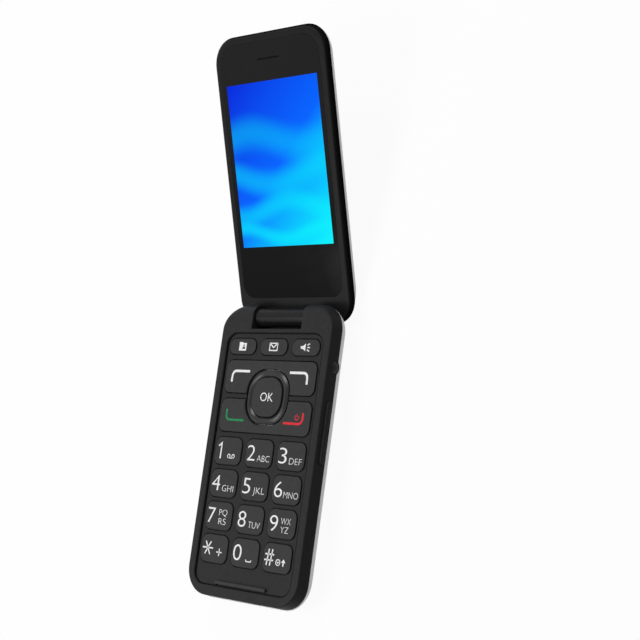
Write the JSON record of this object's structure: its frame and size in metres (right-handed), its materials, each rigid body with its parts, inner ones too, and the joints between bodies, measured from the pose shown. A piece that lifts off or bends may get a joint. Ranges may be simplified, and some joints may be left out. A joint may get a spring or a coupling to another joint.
{
  "type": "flip phone",
  "caption": "Clamshell mobile phone with a hinged display half, a sprung keypad, a navigation ring, side volume key, headphone socket and lift-off battery cover.",
  "frame": {"origin": "middle of the flat back of the keypad half, on the surface that the phone lies on", "axes": "+Z out of the keypad, +Y from the keypad towards the hinge and the open display half, +X to the right of someone reading the keys"},
  "size_m": [0.0534, 0.1924, 0.0362],
  "materials": {
    "black_housing": "fine-textured black ABS",
    "black_panel": "satin charcoal keypad panel",
    "key_black": "satin charcoal key caps with white legends",
    "ring_gloss": "dark metallised ring, glossy",
    "silver_cover": "silver painted plastic, satin gloss",
    "silicone": "translucent silicone",
    "steel": "satin steel",
    "gold": "gold-plated contact",
    "brass": "turned brass",
    "board": "green solder mask",
    "inner_black": "moulded black plastic",
    "battery_wrap": "black battery wrap, unprinted",
    "window": "black-printed clear display window",
    "screen": "lit liquid-crystal panel",
    "backlight": "white light guide",
    "lens": "dark lens cover",
    "led": "clear lens over a white lamp"
  },
  "bodies": {
    "keypad_half": {"base_front_housing": "black_housing", "base_rear_housing": "inner_black", "keypad_fascia": "black_panel", "rest_bar": "black_housing", "key_mat": "silicone", "dome_sheet": "steel", "main_board": "board", "shield_cans": "steel", "sim_holder": "steel", "battery": "battery_wrap", "battery_contacts": "gold", "loudspeaker": "inner_black", "headphone_jack": "inner_black", "usb_port": "steel", "charge_contacts": "gold", "microphone": "steel", "vibration_motor": "steel", "antenna": "gold", "base_screws": "steel", "hinge_shaft": "steel", "volume_switches": "steel", "battery_cover": "silver_cover", "speaker_trim": "inner_black"},
    "display_half": {"lid_inner_frame": "black_housing", "lid_outer_shell": "silver_cover", "display_window": "window", "lcd_panel": "screen", "backlight": "backlight", "earpiece": "inner_black", "earpiece_mesh": "inner_black", "lid_board": "board", "camera_module": "inner_black", "camera_lens": "lens", "torch_led": "led", "lid_magnet": "steel", "lid_screws": "steel", "hinge_bushes": "brass", "hinge_cam": "steel"},
    "key_1": {"key_1": "key_black"},
    "key_2": {"key_2": "key_black"},
    "key_3": {"key_3": "key_black"},
    "key_4": {"key_4": "key_black"},
    "key_5": {"key_5": "key_black"},
    "key_6": {"key_6": "key_black"},
    "key_7": {"key_7": "key_black"},
    "key_8": {"key_8": "key_black"},
    "key_9": {"key_9": "key_black"},
    "key_star": {"key_star": "key_black"},
    "key_0": {"key_0": "key_black"},
    "key_hash": {"key_hash": "key_black"},
    "key_contacts": {"key_contacts": "key_black"},
    "key_messages": {"key_messages": "key_black"},
    "key_torch": {"key_torch": "key_black"},
    "key_ok": {"key_ok": "key_black"},
    "softkey_rocker": {"softkey_rocker": "key_black"},
    "call_rocker": {"call_rocker": "key_black"},
    "nav_platform": {"nav_platform": "inner_black"},
    "nav_ring": {"nav_ring": "ring_gloss"},
    "volume_key": {"volume_key": "black_housing"}
  },
  "joints": [
    {"name": "lid_hinge", "type": "hinge", "parent": "keypad_half", "child": "display_half", "pos_m": [0, 0.04688, 0.0076], "axis": [1, 0, 0], "range_deg": [0, 160]},
    {"name": "key_1_press", "type": "slide", "parent": "keypad_half", "child": "key_1", "axis": [0, 0, -1], "range_m": [0, 0.00035], "stiffness_N_per_m": 1500},
    {"name": "key_2_press", "type": "slide", "parent": "keypad_half", "child": "key_2", "axis": [0, 0, -1], "range_m": [0, 0.00035], "stiffness_N_per_m": 1500},
    {"name": "key_3_press", "type": "slide", "parent": "keypad_half", "child": "key_3", "axis": [0, 0, -1], "range_m": [0, 0.00035], "stiffness_N_per_m": 1500},
    {"name": "key_4_press", "type": "slide", "parent": "keypad_half", "child": "key_4", "axis": [0, 0, -1], "range_m": [0, 0.00035], "stiffness_N_per_m": 1500},
    {"name": "key_5_press", "type": "slide", "parent": "keypad_half", "child": "key_5", "axis": [0, 0, -1], "range_m": [0, 0.00035], "stiffness_N_per_m": 1500},
    {"name": "key_6_press", "type": "slide", "parent": "keypad_half", "child": "key_6", "axis": [0, 0, -1], "range_m": [0, 0.00035], "stiffness_N_per_m": 1500},
    {"name": "key_7_press", "type": "slide", "parent": "keypad_half", "child": "key_7", "axis": [0, 0, -1], "range_m": [0, 0.00035], "stiffness_N_per_m": 1500},
    {"name": "key_8_press", "type": "slide", "parent": "keypad_half", "child": "key_8", "axis": [0, 0, -1], "range_m": [0, 0.00035], "stiffness_N_per_m": 1500},
    {"name": "key_9_press", "type": "slide", "parent": "keypad_half", "child": "key_9", "axis": [0, 0, -1], "range_m": [0, 0.00035], "stiffness_N_per_m": 1500},
    {"name": "key_star_press", "type": "slide", "parent": "keypad_half", "child": "key_star", "axis": [0, 0, -1], "range_m": [0, 0.00035], "stiffness_N_per_m": 1500},
    {"name": "key_0_press", "type": "slide", "parent": "keypad_half", "child": "key_0", "axis": [0, 0, -1], "range_m": [0, 0.00035], "stiffness_N_per_m": 1500},
    {"name": "key_hash_press", "type": "slide", "parent": "keypad_half", "child": "key_hash", "axis": [0, 0, -1], "range_m": [0, 0.00035], "stiffness_N_per_m": 1500},
    {"name": "key_contacts_press", "type": "slide", "parent": "keypad_half", "child": "key_contacts", "axis": [0, 0, -1], "range_m": [0, 0.00035], "stiffness_N_per_m": 1500},
    {"name": "key_messages_press", "type": "slide", "parent": "keypad_half", "child": "key_messages", "axis": [0, 0, -1], "range_m": [0, 0.00035], "stiffness_N_per_m": 1500},
    {"name": "key_torch_press", "type": "slide", "parent": "keypad_half", "child": "key_torch", "axis": [0, 0, -1], "range_m": [0, 0.00035], "stiffness_N_per_m": 1500},
    {"name": "key_ok_press", "type": "slide", "parent": "keypad_half", "child": "key_ok", "axis": [0, 0, -1], "range_m": [0, 0.00035], "stiffness_N_per_m": 1500},
    {"name": "softkey_rocker_tilt", "type": "hinge", "parent": "keypad_half", "child": "softkey_rocker", "pos_m": [0, 0.02523, 0.00985], "axis": [0, 1, 0], "range_deg": [-1, 1], "stiffness_Nm_per_rad": 0.5},
    {"name": "call_rocker_tilt", "type": "hinge", "parent": "keypad_half", "child": "call_rocker", "pos_m": [0, 0.01167, 0.00985], "axis": [0, 1, 0], "range_deg": [-1, 1], "stiffness_Nm_per_rad": 0.5},
    {"name": "nav_tilt_left_right", "type": "hinge", "parent": "keypad_half", "child": "nav_platform", "pos_m": [0, 0.01845, 0.0095], "axis": [0, 1, 0], "range_deg": [-1.2, 1.2], "stiffness_Nm_per_rad": 0.3},
    {"name": "nav_tilt_up_down", "type": "hinge", "parent": "nav_platform", "child": "nav_ring", "pos_m": [0, 0.01845, 0.0095], "axis": [1, 0, 0], "range_deg": [-1.2, 1.2], "stiffness_Nm_per_rad": 0.3},
    {"name": "volume_key_tilt", "type": "hinge", "parent": "keypad_half", "child": "volume_key", "pos_m": [0.0246, 0.00788, 0.00895], "axis": [0, 0, 1], "range_deg": [-1.3, 1.3], "stiffness_Nm_per_rad": 0.3}
  ]
}
